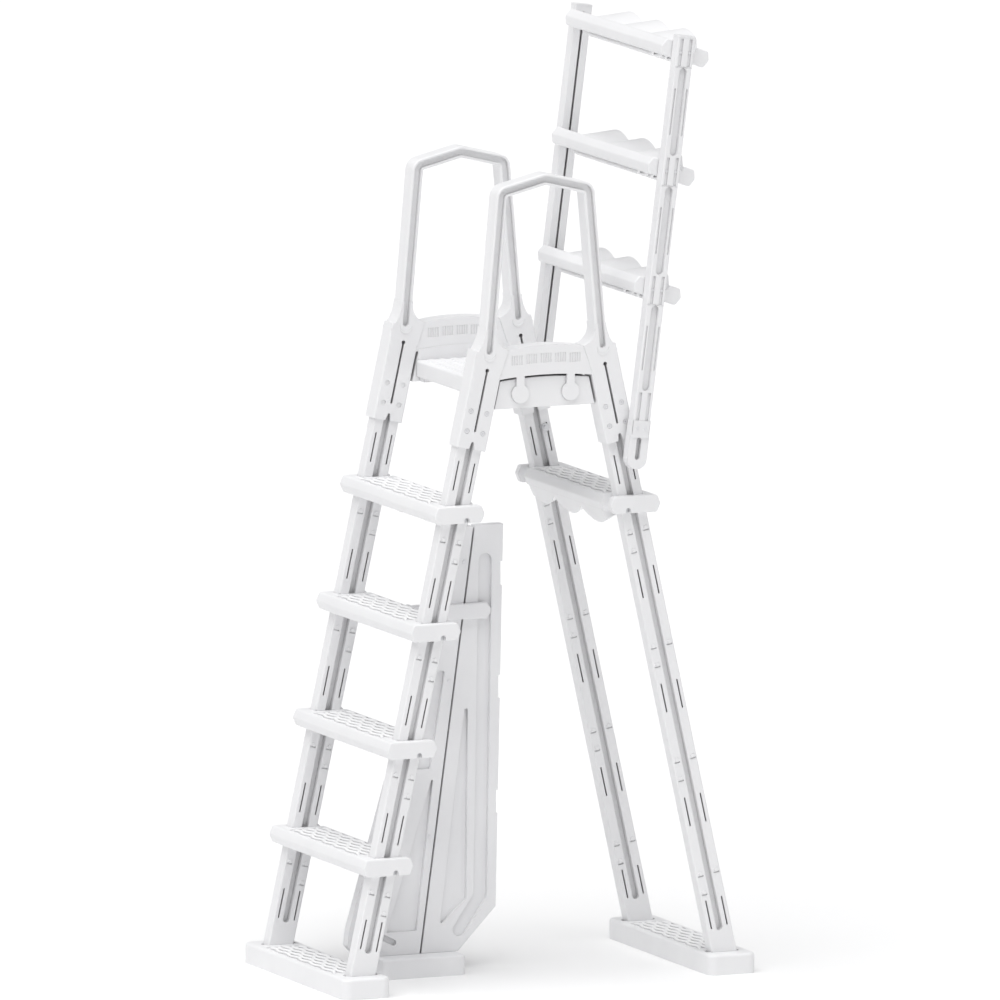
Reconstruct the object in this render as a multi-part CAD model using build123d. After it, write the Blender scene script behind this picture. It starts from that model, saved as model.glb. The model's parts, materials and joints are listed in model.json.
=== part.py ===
from build123d import *
import os
from math import atan, cos, degrees, radians, sin, tan

# Free-standing A-frame ladder for an above-ground pool, with a flip-up outer ladder section.
# Millimetres.  +Z up, origin on the ground under the centre of the platform.
# X runs from the pool side (-X) to the outer side (+X), Y across the treads; "near" is -Y.

# ---- driving dimensions -------------------------------------------------------------------
RISE = 254.0                 # tread to tread, 10 in
PLATFORM_TOP = 1317.0        # standing height of the platform
LEAN = degrees(atan(0.2194))  # legs lean this far from upright
FOOT_SPREAD = 435.9          # leg axis to the centre plane, at the ground
LEG_Y = 232.5                # leg axis to the centre plane, across
LEG_W = 59.0                 # leg, across its lean
LEG_D = 34.0                 # leg, along Y
LEG_TOP = 1384.0             # height of the leg's top end, inside the side unit
FIT = 0.5                    # play between fixed neighbours

TREAD_T = 38.0
TREAD_DEPTH = 118.0
TREAD_HALF = 269.0           # half the tread's length
TREAD_WALL = 4.0
PIN_D = 12.0                 # pins that carry the fixed treads
PIN_INBOARD = 17.0           # pin to the tread's middle, towards the inside of the frame
PIN_END = 206.0              # inner end of the pin's seat in the tread
PIN_PLAY = 0.3

BASE_L = 574.0
BASE_DEPTH = 112.0
BASE_T = 45.0

UNIT_IN = 210.0              # side unit: inner and outer face
UNIT_OUT = 260.0
SOCKET_W = 69.0
SOCKET_BOTTOM = 1185.0
SOCKET_TOP = 1392.0
ARCH_SLOT_Z = 1376.0

RAIL_W = 40.0                # flip section's rail, across its lean
RAIL_D = 30.0
RAIL_IN = 269.6              # rail's inner face
FLIP_TRAVEL = 160.4          # degrees, from raised to lowered
PIVOT_Z = 1149.5
PIVOT_OUTBOARD = 14.4        # pivot to the leg axis, along X
PIVOT_D = 10.6
RAIL_END = 921.0             # pivot to the rail's far end

PANEL_T = 26.0               # barrier panels
SEAM_TOP = (-66.0, 975.0)    # slanted seam between the two barrier panels, X and Z
SEAM_BOTTOM = (-193.5, 38.0)

PIVOT_X = FOOT_SPREAD - tan(radians(LEAN)) * PIVOT_Z + PIVOT_OUTBOARD
RAIL_LEAN = 180.0 - LEAN - FLIP_TRAVEL   # raised rail, from upright


# ---- helpers ------------------------------------------------------------------------------
def block(x, y, z):
    """Box from three (low, high) pairs."""
    size = [high - low for low, high in (x, y, z)]
    middle = [(high + low) / 2 for low, high in (x, y, z)]
    return Pos(*middle) * Box(*size)


def prism_y(sketch, low, high):
    """Extrude an outline drawn as (X, Z) from y = low to y = high."""
    return Pos(0, low, 0) * Rot(90, 0, 0) * extrude(sketch, amount=high - low, dir=(0, 0, -1))


def outline(points, radius=0.0):
    """Closed outline through the points, with every corner rounded."""
    shape = Polygon(*points, align=None)
    if radius:
        shape = fillet(shape.vertices(), radius)
    return shape


def slot_along_z(width, low, high, y_low, y_high, x=0.0):
    """Round-ended slot that runs along Z and is cut along Y."""
    shape = Pos(x, (low + high) / 2) * Rot(0, 0, 90) * SlotOverall(high - low, width)
    return prism_y(shape, y_low, y_high)


def rod_y(diameter, low, high, x=0.0, z=0.0):
    """Cylinder along Y, its seam turned away from the level and upright planes."""
    return Pos(x, (low + high) / 2, z) * Rot(90, 0, 40) * Cylinder(diameter / 2, high - low)


def leg_x(z):
    """Distance of a leg's axis from the centre plane at height z."""
    return FOOT_SPREAD - tan(radians(LEAN)) * z


def along_leg(z):
    """Length along a leg's axis at height z."""
    return z / cos(radians(LEAN))


def tread_z(level):
    """Mid-height of a tread; level 4 is the one below the platform."""
    return PLATFORM_TOP - RISE * (5 - level) - TREAD_T / 2


def in_leg(shape):
    """Place a shape drawn in the frame of the near outer leg."""
    return Pos(FOOT_SPREAD, -LEG_Y, 0) * Rot(0, -LEAN, 0) * shape


def far(shape):
    return mirror(shape, about=Plane.XZ)


def pool(shape):
    return mirror(shape, about=Plane.YZ)


def both_sides(shape):
    return [shape, far(shape)]


def save(name, *shapes):
    solids = []
    for shape in shapes:
        solids.extend(shape.solids())
    whole = Compound(children=solids) if len(solids) > 1 else solids[0]
    export_step(whole, f"parts/{name}.step")


# ---- legs ---------------------------------------------------------------------------------
GROOVE_W = 15.0
GROOVE_DEEP = 14.0
RIB_X = 19.0                 # middle of each of the leg's two ribs
RIB_ROOM = 15.0              # hollow inside a rib, across
NUB_D = 9.0
NUB_OUT = 2.8                # nub beyond the leg's face
NUB_DROP = 58.0              # nub below the tread's mid-height
NUB_PITCH = 42.0             # on to the next nub down the same rib
DASH_W = 13.0                # short groove across the rib, right below each nub
DASH_H = 2.6
DASH_DEEP = 2.2
SLIT_W = 3.2
SLIT_L = 66.0
SLIT_DEEP = 4.0              # through the rib's wall
SLIT_ABOVE_TREAD = 48.0      # start of the slit, from the tread's mid-height
SLIT_ABOVE_BASE = 72.0
BASE_PIN_Z = 26.0


def leg_blank():
    section = RectangleRounded(LEG_W, LEG_D, 4)
    for side in (-1, 1):
        section -= Pos(side * RIB_X, 0) * RectangleRounded(RIB_ROOM, LEG_D - 6, 2)
    return Pos(0, 0, along_leg(18)) * extrude(section, along_leg(LEG_TOP) - along_leg(18))


def nub_spots():
    """Places of the round nubs below each tread level, as (across, along) in the leg's frame."""
    spots = []
    for level in range(1, 5):
        z = along_leg(tread_z(level) - NUB_DROP)
        spots += [(-RIB_X, z), (RIB_X, z), (-RIB_X, z - NUB_PITCH)]
    return spots


def leg_nubs():
    reach = LEG_D / 2 + NUB_OUT
    return [rod_y(NUB_D, -reach, reach, x, z) for x, z in nub_spots()]


def leg():
    cuts = []
    groove_low = along_leg(BASE_T + 48)
    for side in (-1, 1):
        face = side * LEG_D / 2
        low, high = sorted((face - side * GROOVE_DEEP, face + side))
        cuts.append(slot_along_z(GROOVE_W, groove_low, along_leg(LEG_TOP) + 40, low, high))
        low, high = sorted((face - side * SLIT_DEEP, face + side))
        for level in range(0, 5):
            z = along_leg(tread_z(level) + (SLIT_ABOVE_BASE if level == 0 else SLIT_ABOVE_TREAD))
            cuts += [slot_along_z(SLIT_W, z, z + SLIT_L, low, high, x) for x in (-RIB_X, RIB_X)]
        dash_y = sorted((face - side * DASH_DEEP, face + side))
        for x, z in nub_spots():
            dash_top = z - NUB_D / 2
            cuts.append(block((x - DASH_W / 2, x + DASH_W / 2), dash_y, (dash_top - DASH_H, dash_top)))
    shape = leg_blank() - cuts
    nub_body = Part() + leg_nubs()
    hollow = Part()
    for side in (-1, 1):
        across = (side * RIB_X - RIB_ROOM / 2, side * RIB_X + RIB_ROOM / 2)
        hollow += block(across, (-LEG_D / 2 + 3, LEG_D / 2 - 3), (0, along_leg(LEG_TOP)))
    shape += nub_body - hollow
    return shape


def leg_pin_hole(level):
    """Hole through the near outer leg for the pin that a fixed tread rests on."""
    return leg_rod(tread_pin_x(level), tread_pin_z(level))


def tread_pin_x(level):
    return leg_x(tread_z(level)) - PIN_INBOARD


def tread_pin_z(level):
    return tread_z(level) - TREAD_T / 2 + PIN_D / 2


def leg_rod(x, z):
    """Room for a pin through the near outer leg."""
    return rod_y(PIN_D + PIN_PLAY, -LEG_Y - LEG_D, -LEG_Y + LEG_D, x, z)


def outer_leg(levels):
    holes = [leg_pin_hole(level) for level in levels]
    holes.append(leg_rod(leg_x(BASE_PIN_Z), BASE_PIN_Z))
    holes += [in_leg(rod_y(4.3, -LEG_D, 0, x, z)) for x, z in socket_screw_spots()]
    return in_leg(leg()) - holes


def leg_space(play):
    """The room a leg takes up, widened by some play."""
    return in_leg(Pos(0, 0, 800) * Box(LEG_W + 2 * play, LEG_D + 2 * play, 2000))


# ---- treads -------------------------------------------------------------------------------
NOTCH_REACH = 100.0
LOBE_START = -36.5           # the lobes' deep end, near the tread's inner edge
LOBE_END = 35.0              # where they fade out, towards the nose
LOBE_DEEP = 33.0
LOBE_SLOPE = 15.0            # the front face leans out by this much on its way up
LOBE_PITCH = 150.0
LOBE_HALF_W = 80.0           # more than half the pitch, so the valleys keep some depth
LOBE_HALF_Y = 205.0
LOBE_WALL = 4.0


def tread_profile():
    half = TREAD_DEPTH / 2
    flat = half - 8
    top = TREAD_T / 2
    points = [(-half, 0), (-flat, top), (flat, top), (half, 0), (flat, -top), (-flat, -top)]
    return outline(points, 7)


def lobes(inset):
    """Three round bulges under the tread, deep at its inner edge and fading out towards the nose."""
    radius = (LOBE_HALF_W ** 2 + LOBE_DEEP ** 2) / (2 * LOBE_DEEP)
    slope = atan(LOBE_DEEP / (LOBE_END - LOBE_START))
    bottom = -TREAD_T / 2
    axis_x = (LOBE_START + LOBE_END) / 2 - radius * sin(slope)
    axis_z = bottom - LOBE_DEEP / 2 + radius * cos(slope)
    barrels = Part()
    for i in (-1, 0, 1):
        turn = Rot(0, 90 - degrees(slope), 180)
        barrels += Pos(axis_x, i * LOBE_PITCH, axis_z) * turn * Cylinder(radius - inset, 4 * LOBE_PITCH)
    front = LOBE_START + 1.5 * inset
    end = LOBE_END - 5 * inset
    root = bottom if inset else bottom + 2
    depth = bottom - 2 * LOBE_DEEP
    side = outline([(front - LOBE_SLOPE, root), (end, root), (end, depth), (front, depth),
                    (front, bottom - LOBE_DEEP)])
    return barrels & prism_y(side, -LOBE_HALF_Y + inset, LOBE_HALF_Y - inset)


def tread(play):
    """Tread in its own frame: leg axis through the origin, nose towards +X, outer-side lean."""
    shape = prism_y(tread_profile(), -TREAD_HALF, TREAD_HALF)
    ends = shape.edges().filter_by(lambda e: abs(abs(e.center().Y) - TREAD_HALF) < 0.01)
    shape = fillet(ends, 3)
    shape += lobes(0)
    top = TREAD_T / 2
    cuts = [Pos(0, 0, top - 2) * extrude(RectangleRounded(88, 384, 8), 5), lobes(LOBE_WALL)]
    for x in ((-44, -2), (2, 44)):
        for y in ((-205, -105), (-101, -2), (2, 101), (105, 205)):
            cuts.append(block(x, y, (TREAD_WALL - top, top - 2 - TREAD_WALL)))
    half_y = LEG_D / 2 + play
    notch = Rot(0, -LEAN, 0) * block(
        (-NOTCH_REACH, LEG_W / 2 + play), (-half_y, half_y), (-80, 60)
    )
    seat_r = (PIN_D + PIN_PLAY) / 2
    seat_y = (-TREAD_HALF - 1, -PIN_END)
    pin_seat = rod_y(2 * seat_r, *seat_y, -PIN_INBOARD, PIN_D / 2 - top)
    pin_seat += block((-PIN_INBOARD - seat_r, -PIN_INBOARD + seat_r), seat_y, (-top - 1, PIN_D / 2 - top))
    for cutter in (Pos(0, -LEG_Y, 0) * notch, pin_seat):
        cuts += both_sides(cutter)
    return shape - cuts


def at_level(shape, level):
    z = tread_z(level)
    return Pos(leg_x(z), 0, z) * shape


def tread_pin(level):
    outer_end = -LEG_Y - LEG_D / 2 - 7
    return rod_y(PIN_D, outer_end, -PIN_END - 1, tread_pin_x(level), tread_pin_z(level))


# ---- bases --------------------------------------------------------------------------------
def base():
    """Outer base: a ribbed shell with a pocket for each leg."""
    shape = extrude(RectangleRounded(BASE_DEPTH, BASE_L, 20), BASE_T)
    shape = fillet(shape.edges().group_by(Axis.Z)[-1], 7)
    shape -= Pos(0, 0, BASE_T - 2) * extrude(RectangleRounded(86, 384, 8), 5)
    wall = 5.0
    cells_x = ((-BASE_DEPTH / 2 + wall, -4), (4, BASE_DEPTH / 2 - wall))
    cells_y = ((-204, -104), (-98, -6), (6, 98), (104, 204))
    shape -= [block(x, y, (-1, BASE_T - 2 - wall)) for x in cells_x for y in cells_y]
    shape = Pos(leg_x(BASE_T / 2), 0, 0) * shape
    pocket = leg_space(FIT)
    pocket &= block((0, 800), (-400, 0), (8, 200))
    lip = Pos(leg_x(BASE_T), -LEG_Y, BASE_T - 4) * extrude(RectangleRounded(78, 20, 6), 10)
    hole = leg_rod(leg_x(BASE_PIN_Z), BASE_PIN_Z)
    for cutter in (pocket, lip, hole):
        shape -= cutter
        shape -= far(cutter)
    return shape


def base_pin():
    half_length = LEG_D - 1
    return rod_y(PIN_D, -LEG_Y - half_length, -LEG_Y + half_length, leg_x(BASE_PIN_Z), BASE_PIN_Z)


# ---- side units: sockets, arch and handrail in one moulding --------------------------------
POST_FOOT = (133.0, 1385.0)
SHOULDER = (102.0, 1741.0)
LOOP_CORNER = 16.0
APEX_Z = 1766.0
BAR_W = 25.0
BAR_IN = 213.0
BAR_OUT = 258.0
CHANNEL_DEEP = 10.0
TAB_X = 59.0
TAB_Z = 1299.0
TAB_R = 20.0


def loop_band(width, corner, foot_z=POST_FOOT[1]):
    """Band of the given width along the handrail's centreline."""
    foot, shoulder = (POST_FOOT[0], foot_z), SHOULDER
    points = [(-foot[0], foot[1]), (-shoulder[0], shoulder[1]), (0, APEX_Z), shoulder, foot]
    path = FilletPolyline(*points, radius=corner)
    return make_face(offset(path, amount=width / 2, side=Side.BOTH))


def both_faces(shape):
    """A feature of the near side unit's outer face, and its twin on the inner face."""
    return [shape, mirror(shape, about=Plane.XZ.offset((UNIT_IN + UNIT_OUT) / 2))]


def both_ends(shape):
    return [shape, pool(shape)]


def socket():
    """Near outer socket: a sleeve over the leg's top."""
    low, high = along_leg(SOCKET_BOTTOM), along_leg(SOCKET_TOP)
    depth = UNIT_OUT - UNIT_IN
    shape = Pos(0, LEG_Y - (UNIT_OUT + UNIT_IN) / 2, (low + high) / 2) * Box(SOCKET_W, depth, high - low)
    shape = fillet(shape.edges().filter_by(Axis.Z), 4)
    return in_leg(shape)


def yoke():
    """Flared web that carries a handrail post down into its socket and the arch."""
    inner = ThreePointArc((88, 1397), (108, 1410), (115.5, 1444))
    outer = ThreePointArc((140.5, 1446), (148, 1415), (167, 1388))
    bottom = [Line((167, 1388), (167, 1370)), Line((167, 1370), (106, 1345)), Line((106, 1345), (88, 1397))]
    face = make_face(Wire([inner, Line((115.5, 1444), (140.5, 1446)), outer] + bottom))
    return prism_y(face, -UNIT_OUT, -UNIT_IN)


def socket_room():
    """Room for the leg inside the near outer socket."""
    low, high = 600, along_leg(LEG_TOP + 4)
    room = Pos(0, 0, (low + high) / 2) * Box(LEG_W + 2 * FIT, LEG_D + 2 * FIT, high - low)
    return in_leg(room)


def socket_cuts():
    """Slit with a round head, and the notch in the lower edge, on the outer face."""
    face = LEG_Y - UNIT_OUT
    slit = slot_along_z(5, along_leg(1222), along_leg(1358), face - 1, face + 12)
    head = rod_y(9, face - 1, face + 12, 0, along_leg(1355))
    notch_outline = outline([(-7, 0), (7, 0), (2.5, 18), (-2.5, 18)])
    notch = Pos(0, 0, along_leg(SOCKET_BOTTOM) - 2) * prism_y(notch_outline, face - 1, face + 12)
    return [in_leg(slit + head), in_leg(notch)]


def socket_screw_spots():
    """Screw positions on the near outer socket, as (across, along) in the leg's frame."""
    return [(x, along_leg(z)) for z in (1265, 1222) for x in (-RIB_X, RIB_X)]


def arch():
    """Beam that joins the two sockets over the platform's end."""
    top = ThreePointArc((-112, 1392), (0, 1404), (112, 1392))
    bottom = ThreePointArc((124, 1331), (0, 1339.5), (-124, 1331))
    sides = [Line((112, 1392), (124, 1331)), Line((-124, 1331), (-112, 1392))]
    face = make_face(Wire([top, sides[0], bottom, sides[1]]))
    return prism_y(face, -UNIT_OUT + 2, -UNIT_IN - 2)


def arch_slots():
    """Five groups of short upright slots along the arch."""
    bars = []
    for group in range(-2, 3):
        z = ARCH_SLOT_Z - 0.6 * group ** 2
        bars += [Pos(group * 34 + k * 5.6, z) * Rectangle(2.8, 20) for k in range(-2, 3)]
    return prism_y(Sketch() + bars, -UNIT_OUT + 1, -UNIT_OUT + 3.2)


def groove_lip():
    """Raised crescent under the end of a post's groove."""
    moon = Circle(14) - Pos(0, 5) * Circle(13.5)
    return prism_y(Pos(133, 1388) * moon, -UNIT_OUT - 1.6, -UNIT_OUT + 1)


def tabs():
    shape = Part()
    for x in (-TAB_X, TAB_X):
        shape += rod_y(2 * TAB_R, -UNIT_OUT + 2, -252, x, TAB_Z)
        shape += block((x - 9, x + 9), (-UNIT_OUT + 2, -252), (TAB_Z, 1340))
    return shape


def handrail_unit():
    bars = prism_y(loop_band(BAR_W, LOOP_CORNER), -BAR_OUT, -BAR_IN)
    long_edges = bars.edges().filter_by(lambda e: abs(abs(e.center().Y) - BAR_IN) < 0.01
                                        or abs(abs(e.center().Y) - BAR_OUT) < 0.01)
    bars = fillet(long_edges, 3.5)
    bodies = both_ends(socket()) + both_ends(yoke()) + [arch(), tabs()]
    for lip in both_faces(groove_lip()):
        bodies += both_ends(lip)
    shape = bars + bodies
    channel = loop_band(14, LOOP_CORNER, POST_FOOT[1] + 12)
    cuts = both_ends(socket_room())
    cuts += both_faces(prism_y(channel, -UNIT_OUT - 1, -BAR_OUT + CHANNEL_DEEP))
    cuts += both_faces(arch_slots())
    for cutter in socket_cuts():
        for twin in both_faces(cutter):
            cuts += both_ends(twin)
    face = LEG_Y - UNIT_OUT
    for x, z in socket_screw_spots():
        seat = in_leg(rod_y(11, face - 1, face + 2.5, x, z))
        for twin in both_faces(seat):
            cuts += both_ends(twin)
        cuts += both_ends(in_leg(rod_y(4.4, face - 1, face + 14, x, z)))
    cuts += [rod_y(5.4, -UNIT_OUT + 5, -251, x, TAB_Z) for x in (-TAB_X, TAB_X)]
    return shape - cuts


def socket_screw(x, z):
    """Pan-head screw through the socket wall into the leg's rib."""
    face = LEG_Y - UNIT_OUT
    head = rod_y(10, face + 0.4, face + 2.5, x, z)
    head -= rod_y(3.4, face, face + 1.6, x, z)
    return in_leg(head + rod_y(4, face + 2.5, face + 13.5, x, z))


# ---- platform -----------------------------------------------------------------------------
DECK_HALF_X = 108.0
DECK_HALF_Y = 209.0
DECK_T = 40.0
SKIRT_LOW = 1268.0


def platform_deck():
    low = PLATFORM_TOP - DECK_T
    shape = block((-DECK_HALF_X, DECK_HALF_X), (-DECK_HALF_Y, DECK_HALF_Y), (low, PLATFORM_TOP - 2.5))
    shape = fillet(shape.edges().filter_by(Axis.Y), 5)
    for i in range(-3, 4):
        rib = block((i * 27 - 8, i * 27 + 8), (-198, 198), (PLATFORM_TOP - 6, PLATFORM_TOP))
        shape += fillet(rib.edges().filter_by(Axis.Y).group_by(Axis.Z)[-1], 3)
    bays_x = ((-102, -37), (-33, 33), (37, 102))
    bays_y = [(-203 + i * 102, -203 + i * 102 + 98) for i in range(4)]
    return shape - [block(x, y, (low - 1, PLATFORM_TOP - 8)) for x in bays_x for y in bays_y]


def skirt():
    """End beam of the platform: a hollow beam, open below, with a ledge for the deck."""
    def half(z):
        return leg_x(z) - SOCKET_W / 2 / cos(radians(LEAN)) - 5.0

    top = 1328.0
    crown = ThreePointArc((-half(top), top), (0, top + 6), (half(top), top))
    low_edge = Polyline((half(top), top), (half(SKIRT_LOW), SKIRT_LOW), (-half(SKIRT_LOW), SKIRT_LOW),
                        (-half(top), top))
    face = make_face(Wire([crown] + low_edge.edges()))
    inner_face = -UNIT_IN - 1
    inner_wall = inner_face - 8
    shape = prism_y(face, -250, inner_face)
    for x in ((-98, -36), (-32, 32), (36, 98)):
        shape -= block(x, (-240, inner_wall), (SKIRT_LOW - 1, top - 13))
    shape += block((-100, 100), (inner_wall, -188), (SKIRT_LOW, PLATFORM_TOP - DECK_T - 0.2))
    lip_top = ThreePointArc((-104, 1338), (0, 1345), (104, 1338))
    lip_sides = Polyline((104, 1338), (104, 1300), (-104, 1300), (-104, 1338))
    lip = make_face(Wire([lip_top] + lip_sides.edges()))
    shape += prism_y(lip, inner_face - 0.7, inner_face + 1.5)
    for x in (-TAB_X, TAB_X):
        shape -= rod_y(5.4, -255, -235, x, TAB_Z)
    for x in (-70, 70):
        shape -= Pos(x, -198, SKIRT_LOW) * Cylinder(2.7, 40)
    return shape


def platform_bolt(x):
    """Bolt from inside the skirt into the side unit's tab."""
    head = rod_y(11, -240, -235.5, x, TAB_Z)
    head -= rod_y(4, -237.5, -235, x, TAB_Z)
    return head + rod_y(5, -254.5, -240, x, TAB_Z)


# ---- barrier ------------------------------------------------------------------------------
FOOT_X = (-300.0, -106.0)
FOOT_HALF_Y = 65.0
FOOT_T = 44.0
PANEL_FOOT_X = -391.0        # the front panel's leading edge, carried down to the ground
PANEL_LEAN = 0.289
SEAM_HALF = 2.4
RECESS_DEEP = 8.0            # recesses in both faces of the panels
TONGUE_T = 6.0               # the rear panel's tongue, inside the front panel's edge
BRACKET_Z = (775.0, 810.0)
BRACKET_END = -33.0


def seam_x(z):
    share = (z - SEAM_BOTTOM[1]) / (SEAM_TOP[1] - SEAM_BOTTOM[1])
    return SEAM_BOTTOM[0] + share * (SEAM_TOP[0] - SEAM_BOTTOM[0])


def barrier_front_panel():
    low = FOOT_T + 0.3

    def left(z):
        return PANEL_FOOT_X + PANEL_LEAN * z

    points = [(seam_x(low) - SEAM_HALF, low), (seam_x(977) - SEAM_HALF, 977), (left(977), 977),
              (left(105), 105), (left(70) + 6, 70), (left(70) + 32, low)]
    shape = outline(points)
    corners = shape.vertices().sort_by(Axis.X)[:2]
    shape = prism_y(fillet(corners, 10), -PANEL_T / 2, PANEL_T / 2)
    tongue_room = outline([(seam_x(0) - 26, 0), (seam_x(1000) - 26, 1000),
                           (seam_x(1000), 1000), (seam_x(0), 0)])
    shape -= prism_y(tongue_room, -TONGUE_T / 2 - FIT, TONGUE_T / 2 + FIT)
    recess = outline([(seam_x(425) - 22, 425), (seam_x(425) - 26, 425), (-272, 95),
                      (seam_x(95) - 16, 95)], 1.8)
    upper = outline([(seam_x(664) - 26, 664), (seam_x(664) - 42, 664), (-212, 450),
                     (seam_x(450) - 32, 450)], 5)
    vent = Pos(-267, 78) * Rot(0, 0, -28) * SlotOverall(38, 13)
    for side in (-1, 1):
        y = sorted((side * (PANEL_T / 2 - RECESS_DEEP), side * (PANEL_T / 2 + 1)))
        for sketch in (recess, upper, vent):
            shape -= prism_y(sketch, *y)
    for z in (300, 640, 900):
        shape -= rod_y(4.3, -20, 20, seam_x(z) - 13, z)
    return shape


def barrier_rear_panel():
    low = FOOT_T + 0.3
    edge_top, edge_low = 3.0, -15.0
    points = [(seam_x(low) + SEAM_HALF, low), (-104, low), (edge_low, 138), (edge_top, 979),
              (seam_x(979) + SEAM_HALF, 979)]
    shape = prism_y(outline(points), -PANEL_T / 2 + 1, PANEL_T / 2 - 1)
    tongue = outline([(seam_x(50) - 22, 50), (seam_x(970) - 22, 970),
                      (seam_x(970) + 4, 970), (seam_x(50) + 4, 50)])
    shape += prism_y(tongue, -TONGUE_T / 2, TONGUE_T / 2)
    for z in ((844, 897), (596, 647), (343, 394)):
        shape -= block((-3.5 - (978 - z[0]) * 0.021 + 3, 20), (-20, 20), z)
    path = FilletPolyline((-39, 901), (-51, 165), (-100, 92), radius=17)
    channel = make_face(offset(path, amount=15.5, side=Side.BOTH))
    wedge = outline([(-80, 577), (-88, 577), (-146, 104), (-84, 158)], 3)
    for side in (-1, 1):
        face = side * (PANEL_T / 2 - 1)
        shape -= prism_y(channel, *sorted((face - side * (RECESS_DEEP + 1), face + side)))
        shape -= prism_y(wedge, *sorted((face - side * RECESS_DEEP, face + side)))
    for z in (300, 640, 900):
        shape -= rod_y(4.3, -20, 20, seam_x(z) - 13, z)
    return shape


def barrier_foot():
    """Solid, weighted foot that the panels stand on."""
    plan = RectangleRounded(FOOT_X[1] - FOOT_X[0], 2 * FOOT_HALF_Y, 12)
    shape = extrude(Pos(sum(FOOT_X) / 2, 0) * plan, FOOT_T)
    return fillet(shape.edges().group_by(Axis.Z)[-1], 5)


def barrier_bracket():
    """Fork from the third tread's inner edge: one flanged arm on each side of the panels."""
    z = tread_z(3)
    start = -leg_x(z) + TREAD_DEPTH / 2 + 0.6
    low, high = BRACKET_Z
    arm = outline([(start, low + 4), (BRACKET_END - 9, low), (BRACKET_END, (low + high) / 2 - 5),
                   (BRACKET_END, (low + high) / 2 + 5), (BRACKET_END - 9, high), (start, high - 4)], 3)
    inner = PANEL_T / 2 + 0.3
    shape = prism_y(arm, inner, inner + 16)
    shape = fillet(shape.faces().sort_by(Axis.Y)[-1].edges(), 2.5)
    shape += block((start, start + 5), (inner, inner + 28), (low + 4, high - 4))
    return [shape, far(shape)]


def barrier_screw(z):
    head = rod_y(9, -PANEL_T / 2 - 2.6, -PANEL_T / 2, seam_x(z) - 13, z)
    nut = rod_y(8, PANEL_T / 2, PANEL_T / 2 + 2.6, seam_x(z) - 13, z)
    shank = rod_y(4, -PANEL_T / 2, PANEL_T / 2, seam_x(z) - 13, z)
    return head + shank + nut


# ---- flip-up section ------------------------------------------------------------------------
# Drawn lowered, with the rail parallel to the outer leg, then turned up about the pivot.
SCREW_X = (-10.5, 10.5)      # the two screws of a tread joint, across the rail
JOINT_HALF = 30.5            # half the length of the clip zone where a tread meets the rail
HOOK_W = 45.0
HOOK_LOW = -24.0             # hook's round end, from the pivot
HOOK_T = 24.0
HOOK_SLOT = 11.0
PIN_ENGAGE = 8.5             # depth of the slot for the pin, on the hook's inner face
POCKET_DEEP = 12.0           # depth of the matching pocket in the outer face
COLLAR = (46.0, 83.0)        # along the rail, from the pivot


def flip_reach(level):
    """Pivot to a flip tread's middle, along the rail."""
    return (PIVOT_Z - tread_z(level)) / cos(radians(LEAN))


def in_rail(shape):
    """Place a shape drawn along the near rail (+Z away from the pivot) in the raised position."""
    middle = RAIL_IN + RAIL_D / 2
    return Pos(PIVOT_X, -middle, PIVOT_Z) * Rot(0, RAIL_LEAN, 0) * shape


def raise_up(shape):
    """Turn a shape placed in the lowered position up about the pivot."""
    to_pivot = Pos(PIVOT_X, 0, PIVOT_Z)
    return to_pivot * Rot(0, -FLIP_TRAVEL, 0) * Pos(-PIVOT_X, 0, -PIVOT_Z) * shape


def flip_rail():
    start = COLLAR[0] + 6
    face = -RAIL_D / 2
    hollow = Pos(0, 5) * RectangleRounded(RAIL_W - 6, RAIL_D - 16, 2)
    section = RectangleRounded(RAIL_W, RAIL_D, 3) - hollow
    shape = Pos(0, 0, start) * extrude(section, RAIL_END - start)
    joints = [(COLLAR[1] + JOINT_HALF)] + [flip_reach(level) for level in (3, 2, 1)]
    for k, z in enumerate(joints):
        for x in SCREW_X:
            shape -= block((x - 3.5, x + 3.5), (face - 1, face + 4), (z - JOINT_HALF, z + JOINT_HALF))
        if k:
            low = joints[k - 1] + JOINT_HALF + 4
            high = z - JOINT_HALF - 3
            shape -= slot_along_z(17, low, high, face - 1, face + 9.5)
            for x in (-14, 14):
                shape -= slot_along_z(3.2, low + 45, high - 45, face - 1, face + 2.5, x)
            shape -= block((-RAIL_W, RAIL_W), (face - 1, face + 1.6), (high + 0.5, high + 3))
    shape -= slot_along_z(5, COLLAR[1] + 12, RAIL_END - 12, RAIL_D / 2 - 4, RAIL_D / 2 + 1)
    for level in (3, 2, 1):
        for x in SCREW_X:
            shape -= rod_y(5.3, face - 1, RAIL_D / 2 + 1, x, flip_reach(level))
    for x in (-9, 9):
        shape -= rod_y(4.3, face - 1, RAIL_D / 2 + 1, x, COLLAR[1] - 16)
    return in_rail(shape)


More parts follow.
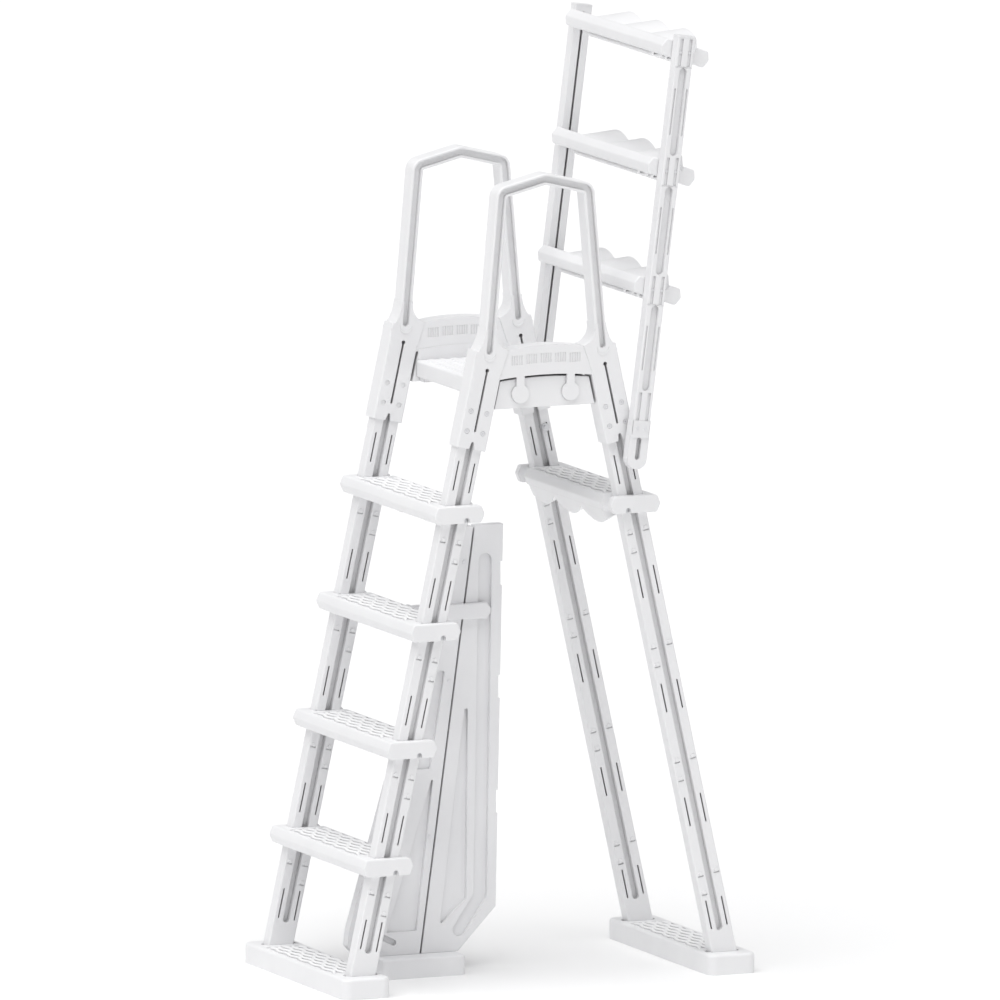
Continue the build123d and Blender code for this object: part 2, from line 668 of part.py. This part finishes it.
def flip_hook():
    """End fitting: collar, and a hook plate with the slot that rides on the pivot pin."""
    collar = block((-21, 21), (-16, 16), COLLAR)
    collar = fillet(collar.edges().filter_by(Axis.Z), 3)
    collar -= block((-RAIL_W / 2 - 0.3, RAIL_W / 2 + 0.3), (-RAIL_D / 2 - 0.3, RAIL_D / 2 + 0.3),
                    (COLLAR[0] + 5.5, COLLAR[1] + 1))
    plate = Pos(0, (HOOK_LOW + COLLAR[0] + 4) / 2) * Rectangle(HOOK_W, COLLAR[0] + 4 - HOOK_LOW)
    plate = fillet(plate.vertices().group_by(Axis.Y)[0], HOOK_W / 2 - 0.5)
    hook = prism_y(plate, -HOOK_T / 2, HOOK_T / 2)
    plug = block((-14, 14), (-1.6, 11.6), (COLLAR[0], COLLAR[1] + 20))
    shape = collar + hook + plug
    slot_low = -PIVOT_D / 2 - 0.2
    shape -= slot_along_z(HOOK_SLOT, slot_low, COLLAR[0] + 1, HOOK_T / 2 - PIN_ENGAGE, HOOK_T)
    shape -= slot_along_z(HOOK_SLOT, slot_low + 2, COLLAR[0] - 1, -HOOK_T, POCKET_DEEP - HOOK_T / 2)
    for x in (-9, 9):
        shape -= rod_y(4.3, -20, 20, x, COLLAR[1] - 16)
    return in_rail(shape)


def hook_screw(x):
    shank = rod_y(4, -RAIL_D / 2 - 1, 12, x, COLLAR[1] - 16)
    head = rod_y(7.5, -RAIL_D / 2 - 3.6, -RAIL_D / 2 - 1, x, COLLAR[1] - 16)
    return in_rail(head + shank)


def flip_tread(level):
    shape = at_level(tread(2.5), level)
    for x in SCREW_X:
        hole = rod_y(5.3, -TREAD_HALF - 1, -TREAD_HALF + 14, 0, 0)
        centre = lowered_rail_point(flip_reach(level), x)
        shape -= Pos(centre[0], 0, centre[1]) * hole
        shape -= far(Pos(centre[0], 0, centre[1]) * hole)
    return raise_up(shape)


def lowered_rail_point(reach, across):
    """X and Z of a point of the lowered rail: reach along it, across towards the outside."""
    turn = radians(LEAN)
    x = PIVOT_X + reach * sin(turn) - across * cos(turn)
    z = PIVOT_Z - reach * cos(turn) - across * sin(turn)
    return (x, z)


def flip_tread_screw(level, x):
    """Screw through the rail into the end of a flip tread."""
    z = flip_reach(level)
    shank = rod_y(5, -RAIL_D / 2 + 4, RAIL_D / 2 + 13, x, z)
    head = rod_y(6.4, -RAIL_D / 2 + 1, -RAIL_D / 2 + 4, x, z)
    return in_rail(head + shank)


def flip_end_cap():
    shape = block((-RAIL_W / 2, RAIL_W / 2), (-RAIL_D / 2, RAIL_D / 2), (RAIL_END, RAIL_END + 4))
    shape = fillet(shape.edges().filter_by(Axis.Z), 3)
    shape += block((-15, 15), (-1.6, 11.6), (RAIL_END - 10, RAIL_END))
    return in_rail(shape)


# ---- pivot ----------------------------------------------------------------------------------
BUSH_D = 22.0                # collar between the leg and the hook
BUSH_END = RAIL_IN - 1.5     # clear of the hook's collar when the section slides down


def pivot_at(shape):
    return Pos(PIVOT_X, 0, PIVOT_Z) * shape


def pivot_bush():
    """Bush pressed through the outer leg, with a collar that spaces the hook off the leg."""
    shape = rod_y(16, -LEG_Y - LEG_D / 2, -LEG_Y + LEG_D / 2)
    shape += rod_y(BUSH_D, -BUSH_END, -LEG_Y - LEG_D / 2)
    shape -= rod_y(PIVOT_D + 0.1, -RAIL_IN - 10, -LEG_Y + LEG_D)
    return pivot_at(shape)


def pivot_pin():
    """Pin that turns in the bush; its outer end rides in the hook's slot."""
    hook_face = HOOK_T / 2 - RAIL_IN - RAIL_D / 2
    shape = rod_y(PIVOT_D, hook_face - PIN_ENGAGE + 0.5, -LEG_Y + LEG_D / 2 + 8)
    return pivot_at(shape + rod_y(18, -LEG_Y + LEG_D / 2 + 1, -LEG_Y + LEG_D / 2 + 5))


# ---- build ----------------------------------------------------------------------------------
def main():
    os.makedirs("parts", exist_ok=True)

    save("base_outer", base())
    save("base_pool", pool(base()))

    bush_hole = pivot_at(rod_y(16.2, -LEG_Y - 40, -LEG_Y + 40))
    outer = outer_leg([4]) - bush_hole
    inner = pool(outer_leg([1, 2, 3, 4]))
    for place, shape in (("outer", outer), ("pool", inner)):
        save(f"leg_{place}_near", shape)
        save(f"leg_{place}_far", far(shape))

    fixed = tread(FIT)
    save("tread_outer_4", at_level(fixed, 4))
    for level in (1, 2, 3, 4):
        save(f"tread_pool_{level}", pool(at_level(fixed, level)))
    pins = [pool(tread_pin(level)) for level in (1, 2, 3, 4)]
    save("tread_pins_pool", *pins, *[far(pin) for pin in pins])
    save("tread_pins_outer", *both_sides(tread_pin(4)))
    save("base_pins", *both_sides(base_pin()), *both_sides(pool(base_pin())))

    unit = handrail_unit()
    save("handrail_near", unit)
    save("handrail_far", far(unit))
    screws = [socket_screw(x, z) for x, z in socket_screw_spots()]
    screws += [pool(screw) for screw in screws]
    save("socket_screws", *screws, *[far(screw) for screw in screws])

    save("platform_deck", platform_deck())
    save("platform_skirt_near", skirt())
    save("platform_skirt_far", far(skirt()))
    bolts = [platform_bolt(x) for x in (-TAB_X, TAB_X)]
    save("platform_bolts", *bolts, *[far(bolt) for bolt in bolts])

    save("barrier_front_panel", barrier_front_panel())
    save("barrier_rear_panel", barrier_rear_panel())
    save("barrier_foot", barrier_foot())
    save("barrier_bracket", *barrier_bracket())
    save("barrier_screws", *[barrier_screw(z) for z in (300, 640, 900)])

    save("pivot_bush_near", pivot_bush())
    save("pivot_bush_far", far(pivot_bush()))
    save("pivot_pin_near", pivot_pin())
    save("pivot_pin_far", far(pivot_pin()))

    save("flip_rail_near", flip_rail())
    save("flip_rail_far", far(flip_rail()))
    save("flip_hook_near", flip_hook())
    save("flip_hook_far", far(flip_hook()))
    for level in (1, 2, 3):
        save(f"flip_tread_{level}", flip_tread(level))
    screws = [flip_tread_screw(level, x) for level in (1, 2, 3) for x in SCREW_X]
    save("flip_tread_screws", *screws, *[far(screw) for screw in screws])
    screws = [hook_screw(x) for x in (-9, 9)]
    save("flip_hook_screws", *screws, *[far(screw) for screw in screws])
    save("flip_end_caps", *both_sides(flip_end_cap()))


main()
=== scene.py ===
import json
import math

import bpy
from mathutils import Matrix, Vector


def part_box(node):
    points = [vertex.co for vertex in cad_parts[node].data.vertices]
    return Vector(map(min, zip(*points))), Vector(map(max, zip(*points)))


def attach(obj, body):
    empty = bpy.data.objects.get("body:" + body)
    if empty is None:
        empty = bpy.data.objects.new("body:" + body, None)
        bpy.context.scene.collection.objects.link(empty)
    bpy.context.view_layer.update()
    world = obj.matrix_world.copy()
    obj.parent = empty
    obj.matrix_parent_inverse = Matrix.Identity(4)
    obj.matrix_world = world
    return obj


# Pool ladder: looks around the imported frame.  Metres, +Z up, pool side -X, near side -Y.

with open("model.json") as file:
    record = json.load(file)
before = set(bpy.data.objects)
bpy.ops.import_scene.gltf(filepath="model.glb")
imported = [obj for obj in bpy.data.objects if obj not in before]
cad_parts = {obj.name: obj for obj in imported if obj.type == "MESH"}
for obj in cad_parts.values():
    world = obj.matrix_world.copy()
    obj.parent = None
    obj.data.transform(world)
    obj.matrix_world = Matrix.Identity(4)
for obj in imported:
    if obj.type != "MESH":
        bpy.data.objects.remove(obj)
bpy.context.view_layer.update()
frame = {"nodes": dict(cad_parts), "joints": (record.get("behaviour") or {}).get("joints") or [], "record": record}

MM = 0.001

# ---- materials ----------------------------------------------------------------------------------
# Noise frequencies are per metre, and a stretch is the share of that frequency along X, Y and Z.
NOISE_LOW, NOISE_HIGH = 0.3, 0.7          # most of a noise's values lie between these

MOTTLING_FREQUENCY = 9.0                  # flow marks, drawn out upwards
MOTTLING_DETAIL = 4.0
MOTTLING_STRETCH = (1, 1, 0.45)
SHEEN_FREQUENCY = 60.0
SMOOTHER, ROUGHER = 0.06, 0.08            # how far the roughness strays each way
WAVINESS_FREQUENCY = 14.0                 # sink marks
WAVINESS_DEPTH = 0.6 * MM
WAVINESS_STRENGTH = 0.35
GRAIN_FREQUENCY = 900.0
GRAIN_DEPTH = 0.05 * MM

# Painted shade in grooves and recesses: the base colour darkens where nearby walls shut it in.
PAINTED_SHADE_REACH = 24 * MM
PAINTED_SHADE_TONE = 0.66                        # painted shade: share of the colour kept deep in a groove
PAINTED_SHADE_SHUT, PAINTED_SHADE_OPEN = 0.15, 0.5      # share of open sky where the painted shade is full, and where it ends

WHITE = ((0.88, 0.88, 0.888), (0.85, 0.85, 0.86))
# A lighter copy of WHITE for the ribs: painted light that offsets the shade on their sides and in their gaps.
GRIP_WHITE_PAINTED_LIGHT = ((0.95, 0.95, 0.955), (0.92, 0.92, 0.93))
BARRIER_WHITE = ((0.87, 0.87, 0.88), (0.83, 0.83, 0.843))
FASTENER_WHITE = ((0.84, 0.84, 0.86), (0.8, 0.8, 0.82))
STEEL = ((0.6, 0.61, 0.63), (0.7, 0.7, 0.71))
FLOOR_WHITE = ((0.965, 0.965, 0.965), (0.975, 0.975, 0.975))


def new_material(name):
    material = bpy.data.materials.new(name)
    material.use_nodes = True
    tree = material.node_tree
    tree.nodes.clear()
    output = tree.nodes.new("ShaderNodeOutputMaterial")
    shader = tree.nodes.new("ShaderNodeBsdfPrincipled")
    tree.links.new(shader.outputs["BSDF"], output.inputs["Surface"])
    return material, tree, shader


def noise(tree, coords, frequency, detail=3.0, stretch=(1, 1, 1)):
    """Noise in object space, which is the ladder's frame."""
    mapping = tree.nodes.new("ShaderNodeMapping")
    mapping.inputs["Scale"].default_value = stretch
    tree.links.new(coords, mapping.inputs["Vector"])
    node = tree.nodes.new("ShaderNodeTexNoise")
    node.inputs["Scale"].default_value = frequency
    node.inputs["Detail"].default_value = detail
    tree.links.new(mapping.outputs["Vector"], node.inputs["Vector"])
    return node.outputs["Fac"]


def remap(tree, value, low, high, from_low=NOISE_LOW, from_high=NOISE_HIGH):
    node = tree.nodes.new("ShaderNodeMapRange")
    node.inputs["From Min"].default_value = from_low
    node.inputs["From Max"].default_value = from_high
    node.inputs["To Min"].default_value = low
    node.inputs["To Max"].default_value = high
    tree.links.new(value, node.inputs["Value"])
    return node.outputs["Result"]


def blend_colors(tree, factor, colors):
    first, second = colors
    node = tree.nodes.new("ShaderNodeMix")
    node.data_type = "RGBA"
    tree.links.new(factor, node.inputs["Factor"])
    node.inputs["A"].default_value = (*first, 1)
    node.inputs["B"].default_value = (*second, 1)
    return node.outputs["Result"]


def bump(tree, height, distance, strength, normal=None):
    node = tree.nodes.new("ShaderNodeBump")
    node.inputs["Distance"].default_value = distance
    node.inputs["Strength"].default_value = strength
    tree.links.new(height, node.inputs["Height"])
    if normal is not None:
        tree.links.new(normal, node.inputs["Normal"])
    return node.outputs["Normal"]


def painted_shade_in_recesses(tree, color):
    """The colour with painted shade: darkened where walls closer than the painted-shade reach shut the surface in.
    """
    shut_in = tree.nodes.new("ShaderNodeAmbientOcclusion")
    shut_in.samples = 8
    shut_in.inputs["Distance"].default_value = PAINTED_SHADE_REACH
    node = tree.nodes.new("ShaderNodeMix")
    node.data_type = "RGBA"
    node.blend_type = "MULTIPLY"
    node.inputs["Factor"].default_value = 1.0
    tree.links.new(color, node.inputs["A"])
    tone = remap(tree, shut_in.outputs["AO"], PAINTED_SHADE_TONE, 1.0, PAINTED_SHADE_SHUT, PAINTED_SHADE_OPEN)
    tree.links.new(tone, node.inputs["B"])
    return node.outputs["Result"]


def moulded_plastic(name, colors, roughness, grain, edge):
    """Moulded plastic: faint flow mottling, painted shade in recesses, fine grain, a slow sink-mark waviness and
    softened edges.
    """
    material, tree, shader = new_material(name)
    coords = tree.nodes.new("ShaderNodeTexCoord").outputs["Object"]
    flow_marks = noise(tree, coords, MOTTLING_FREQUENCY, MOTTLING_DETAIL, MOTTLING_STRETCH)
    color = blend_colors(tree, remap(tree, flow_marks, 0.0, 1.0), colors)
    # The base colour gets painted shade in recesses.
    tree.links.new(painted_shade_in_recesses(tree, color), shader.inputs["Base Color"])
    sheen = remap(tree, noise(tree, coords, SHEEN_FREQUENCY), roughness - SMOOTHER, roughness + ROUGHER)
    tree.links.new(sheen, shader.inputs["Roughness"])
    rounding = tree.nodes.new("ShaderNodeBevel")
    rounding.samples = 4
    rounding.inputs["Radius"].default_value = edge
    sink_marks = noise(tree, coords, WAVINESS_FREQUENCY, 1.0)
    waviness = bump(tree, sink_marks, WAVINESS_DEPTH, WAVINESS_STRENGTH, rounding.outputs["Normal"])
    surface = bump(tree, noise(tree, coords, GRAIN_FREQUENCY, 2.0), GRAIN_DEPTH, grain, waviness)
    tree.links.new(surface, shader.inputs["Normal"])
    shader.inputs["IOR"].default_value = 1.5
    shader.inputs["Specular IOR Level"].default_value = 0.4
    shader.inputs["Subsurface Weight"].default_value = 0.08
    shader.inputs["Subsurface Radius"].default_value = (1.0, 0.95, 0.95)
    shader.inputs["Subsurface Scale"].default_value = 3 * MM
    return material


def brushed_steel(name):
    """Steel with fine streaks along Y, which is the pins' length."""
    material, tree, shader = new_material(name)
    coords = tree.nodes.new("ShaderNodeTexCoord").outputs["Object"]
    streaks = noise(tree, coords, 500.0, 2.0, (1, 0.05, 1))
    tree.links.new(remap(tree, streaks, 0.26, 0.42), shader.inputs["Roughness"])
    tree.links.new(blend_colors(tree, streaks, STEEL), shader.inputs["Base Color"])
    tree.links.new(bump(tree, streaks, 0.02 * MM, 0.4), shader.inputs["Normal"])
    shader.inputs["Metallic"].default_value = 1.0
    return material


def floor_material():
    material, tree, shader = new_material("studio_floor")
    coords = tree.nodes.new("ShaderNodeTexCoord").outputs["Object"]
    tone = remap(tree, noise(tree, coords, 1.5), 0.0, 1.0)
    tree.links.new(blend_colors(tree, tone, FLOOR_WHITE), shader.inputs["Base Color"])
    shader.inputs["Roughness"].default_value = 0.9
    shader.inputs["Specular IOR Level"].default_value = 0.1
    return material


MATERIALS = {
    "white_plastic": moulded_plastic("white_moulded", WHITE, 0.42, 0.35, 1.2 * MM),
    # The grip finish is the lighter white: painted light on the ribs.
    "grip": moulded_plastic("grip_moulded_painted_light", GRIP_WHITE_PAINTED_LIGHT, 0.5, 0.35, 1.2 * MM),
    "barrier_plastic": moulded_plastic("barrier_moulded", BARRIER_WHITE, 0.5, 0.6, 1.5 * MM),
    "fastener_plastic": moulded_plastic("fastener_moulded", FASTENER_WHITE, 0.38, 0.2, 0.5 * MM),
    "pin_steel": brushed_steel("pin_steel"),
}


def finish_cad_nodes():
    """Every CAD node keeps its shape and gets the finish of its material slot."""
    for part in frame["record"]["subparts"]:
        node = frame["nodes"][part["node"]]
        node.data.materials.clear()
        node.data.materials.append(MATERIALS[part["material_slot"]])


# ---- anti-slip ribs -----------------------------------------------------------------------------
FIELD_HALF_Y = 192 * MM         # the recess in a tread or base
FIELD_DEEP = 2 * MM
RIB_COUNT = 5
RIB_PITCH = 16.5 * MM
RIB_WAVE = 64 * MM
RIB_SWAY = 3.4 * MM
RIB_HALF_W = 4.6 * MM
RIB_ABOVE_RIM = 3.0 * MM
FLIP_RIB_ABOVE_RIM = 8.0 * MM
RIB_STEP = 2.5 * MM
RIB_END_GAP = 5 * MM            # from the middle rib's end to the recess's
RIB_END_STAGGER = 2.5 * MM      # each rib further out ends this much sooner
RIB_END_SHARE = 0.35            # of the width, at the very end
RIB_END_HEIGHT = 0.05           # of the height, at the very end

# One rib's section: share of the half width, share of the height
RIB_PROFILE = [
    (-1.0, 0.0), (-0.86, 0.62), (-0.55, 0.93), (0.0, 1.0), (0.55, 0.93), (0.86, 0.62), (1.0, 0.0),
]

FIXED_TREADS = ("tread_outer_4", "tread_pool_1", "tread_pool_2", "tread_pool_3", "tread_pool_4")
FLIP_LEVELS = (1, 2, 3)


def wavy_rib(x, sway, half_length):
    """Rows of points of one rib, with its top at height 1 and its ends rounded off."""
    steps = round(2 * half_length / RIB_STEP)
    rows = []
    for i in range(steps + 1):
        y = -half_length + 2 * half_length * i / steps
        end = min(1.0, (half_length - abs(y)) / (3 * RIB_HALF_W))
        swell = math.sqrt(1 - (1 - end) ** 2)
        middle = x + sway * math.cos(2 * math.pi * y / RIB_WAVE)
        half_width = RIB_HALF_W * (RIB_END_SHARE + (1 - RIB_END_SHARE) * swell)
        top = max(swell, RIB_END_HEIGHT)
        rows.append([Vector((middle + across * half_width, y, top * up)) for across, up in RIB_PROFILE])
    return rows


def rib_field(name, place, body, height):
    """All ribs of one tread as one mesh of closed ribs, standing in the recess.

    place maps tread space to the ladder.
    """
    vertices, faces = [], []
    for i in range(RIB_COUNT):
        offset = i - (RIB_COUNT - 1) / 2
        half_length = FIELD_HALF_Y - (RIB_END_GAP + RIB_END_STAGGER * abs(offset))
        rows = wavy_rib(offset * RIB_PITCH, RIB_SWAY * (1 if i % 2 else -1), half_length)
        first, width = len(vertices), len(RIB_PROFILE)
        for row in rows:
            vertices.extend(Vector((p.x, p.y, p.z * height - FIELD_DEEP)) for p in row)
        for j in range(len(rows) - 1):
            for k in range(width):
                a = first + j * width + k
                b = first + j * width + (k + 1) % width
                faces.append((a, b, b + width, a + width))
        faces.append(tuple(first + k for k in reversed(range(width))))
        faces.append(tuple(first + (len(rows) - 1) * width + k for k in range(width)))
    mesh = bpy.data.meshes.new(name)
    mesh.from_pydata([place @ v for v in vertices], [], faces)
    mesh.validate()
    if place.determinant() < 0:
        mesh.flip_normals()
    for polygon in mesh.polygons:
        polygon.use_smooth = len(polygon.vertices) == 4
    piece = bpy.data.objects.new(name, mesh)
    bpy.context.scene.collection.objects.link(piece)
    mesh.materials.append(MATERIALS["grip"])
    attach(piece, body)


def on_top_of(node):
    """Places tread space, with its origin in the middle of the rim's plane, on a fixed tread or base."""
    low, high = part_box(node)
    return Matrix.Translation(((low[0] + high[0]) / 2, 0, high[2]))


def lowered_to_raised():
    """The turn that takes the flip section from over the legs up to its rest position."""
    hinge = next(joint for joint in frame["joints"] if joint["name"] == "flip_hinge")
    pivot = Vector(hinge["pos_m"])
    turn = Matrix.Rotation(-math.radians(hinge["range_deg"][1]), 4, Vector(hinge["axis"]))
    return Matrix.Translation(pivot) @ turn @ Matrix.Translation(-pivot)


def build_ribs():
    """Ribs on every base and tread; a flip tread, lowered, mirrors the pool side's tread of its level."""
    height = FIELD_DEEP + RIB_ABOVE_RIM
    flip_height = FIELD_DEEP + FLIP_RIB_ABOVE_RIM
    for node in ("base_outer", "base_pool", *FIXED_TREADS):
        rib_field(f"ribs_{node}", on_top_of(node), "frame", height)
    for level in FLIP_LEVELS:
        twin = on_top_of(f"tread_pool_{level}")
        mirrored = Matrix.Scale(-1, 4, Vector((1, 0, 0)))
        place = lowered_to_raised() @ mirrored @ twin
        rib_field(f"ribs_flip_tread_{level}", place, "flip_section", flip_height)


# ---- studio -------------------------------------------------------------------------------------
FLOOR_HALF = 150.0

SKY_COLOR = (0.99, 0.99, 1.0, 1)
SKY_STRENGTH = 0.38
KEY_DIRECTION = (-0.27, -0.22, 0.94)
KEY_STRENGTH = 2.5
KEY_SPREAD = 70                 # degrees, wide for soft shadows

VIEW_AZIMUTH = math.radians(22.86)
VIEW_ELEVATION = math.radians(8.4)
VIEW_WIDTH = 2.1744             # what the frame covers at the ladder
VIEW_HEIGHT = 1.0               # of the point that the view is centred near
VIEW_RIGHT = 0.0006             # from that point to the view's centre, in the view's own directions
VIEW_UP = 0.0289
LENS = 1200.0                   # millimetres, long, so that the view is nearly parallel
SENSOR = 36.0


def build_floor():
    half = FLOOR_HALF
    corners = [(-half, -half, 0), (half, -half, 0), (half, half, 0), (-half, half, 0)]
    mesh = bpy.data.meshes.new("floor")
    mesh.from_pydata(corners, [], [(0, 1, 2, 3)])
    floor = bpy.data.objects.new("floor", mesh)
    bpy.context.scene.collection.objects.link(floor)
    mesh.materials.append(floor_material())


def add_sun(name, direction, strength, spread):
    light = bpy.data.lights.new(name, "SUN")
    light.energy = strength
    light.angle = math.radians(spread)
    lamp = bpy.data.objects.new(name, light)
    lamp.rotation_euler = Vector(direction).to_track_quat("Z", "Y").to_euler()
    bpy.context.scene.collection.objects.link(lamp)


def build_light():
    world = bpy.data.worlds.new("studio")
    world.use_nodes = True
    background = world.node_tree.nodes["Background"]
    background.inputs["Color"].default_value = SKY_COLOR
    background.inputs["Strength"].default_value = SKY_STRENGTH
    bpy.context.scene.world = world
    add_sun("key", KEY_DIRECTION, KEY_STRENGTH, KEY_SPREAD)


def build_camera():
    azimuth, elevation = VIEW_AZIMUTH, VIEW_ELEVATION
    back = Vector((-math.sin(azimuth) * math.cos(elevation), -math.cos(azimuth) * math.cos(elevation),
                   math.sin(elevation)))
    right = Vector((math.cos(azimuth), -math.sin(azimuth), 0))
    up = back.cross(right)
    target = Vector((0, 0, VIEW_HEIGHT)) + VIEW_RIGHT * right + VIEW_UP * up
    distance = VIEW_WIDTH * LENS / SENSOR
    data = bpy.data.cameras.new("camera")
    data.lens = LENS
    data.sensor_width = SENSOR
    data.clip_start = 10.0
    data.clip_end = 300.0
    camera = bpy.data.objects.new("camera", data)
    camera.location = target + distance * back
    camera.rotation_euler = back.to_track_quat("Z", "Y").to_euler()
    bpy.context.scene.collection.objects.link(camera)
    bpy.context.scene.camera = camera


finish_cad_nodes()
build_ribs()
build_floor()
build_light()
build_camera()
bpy.context.scene.view_settings.view_transform = "Standard"
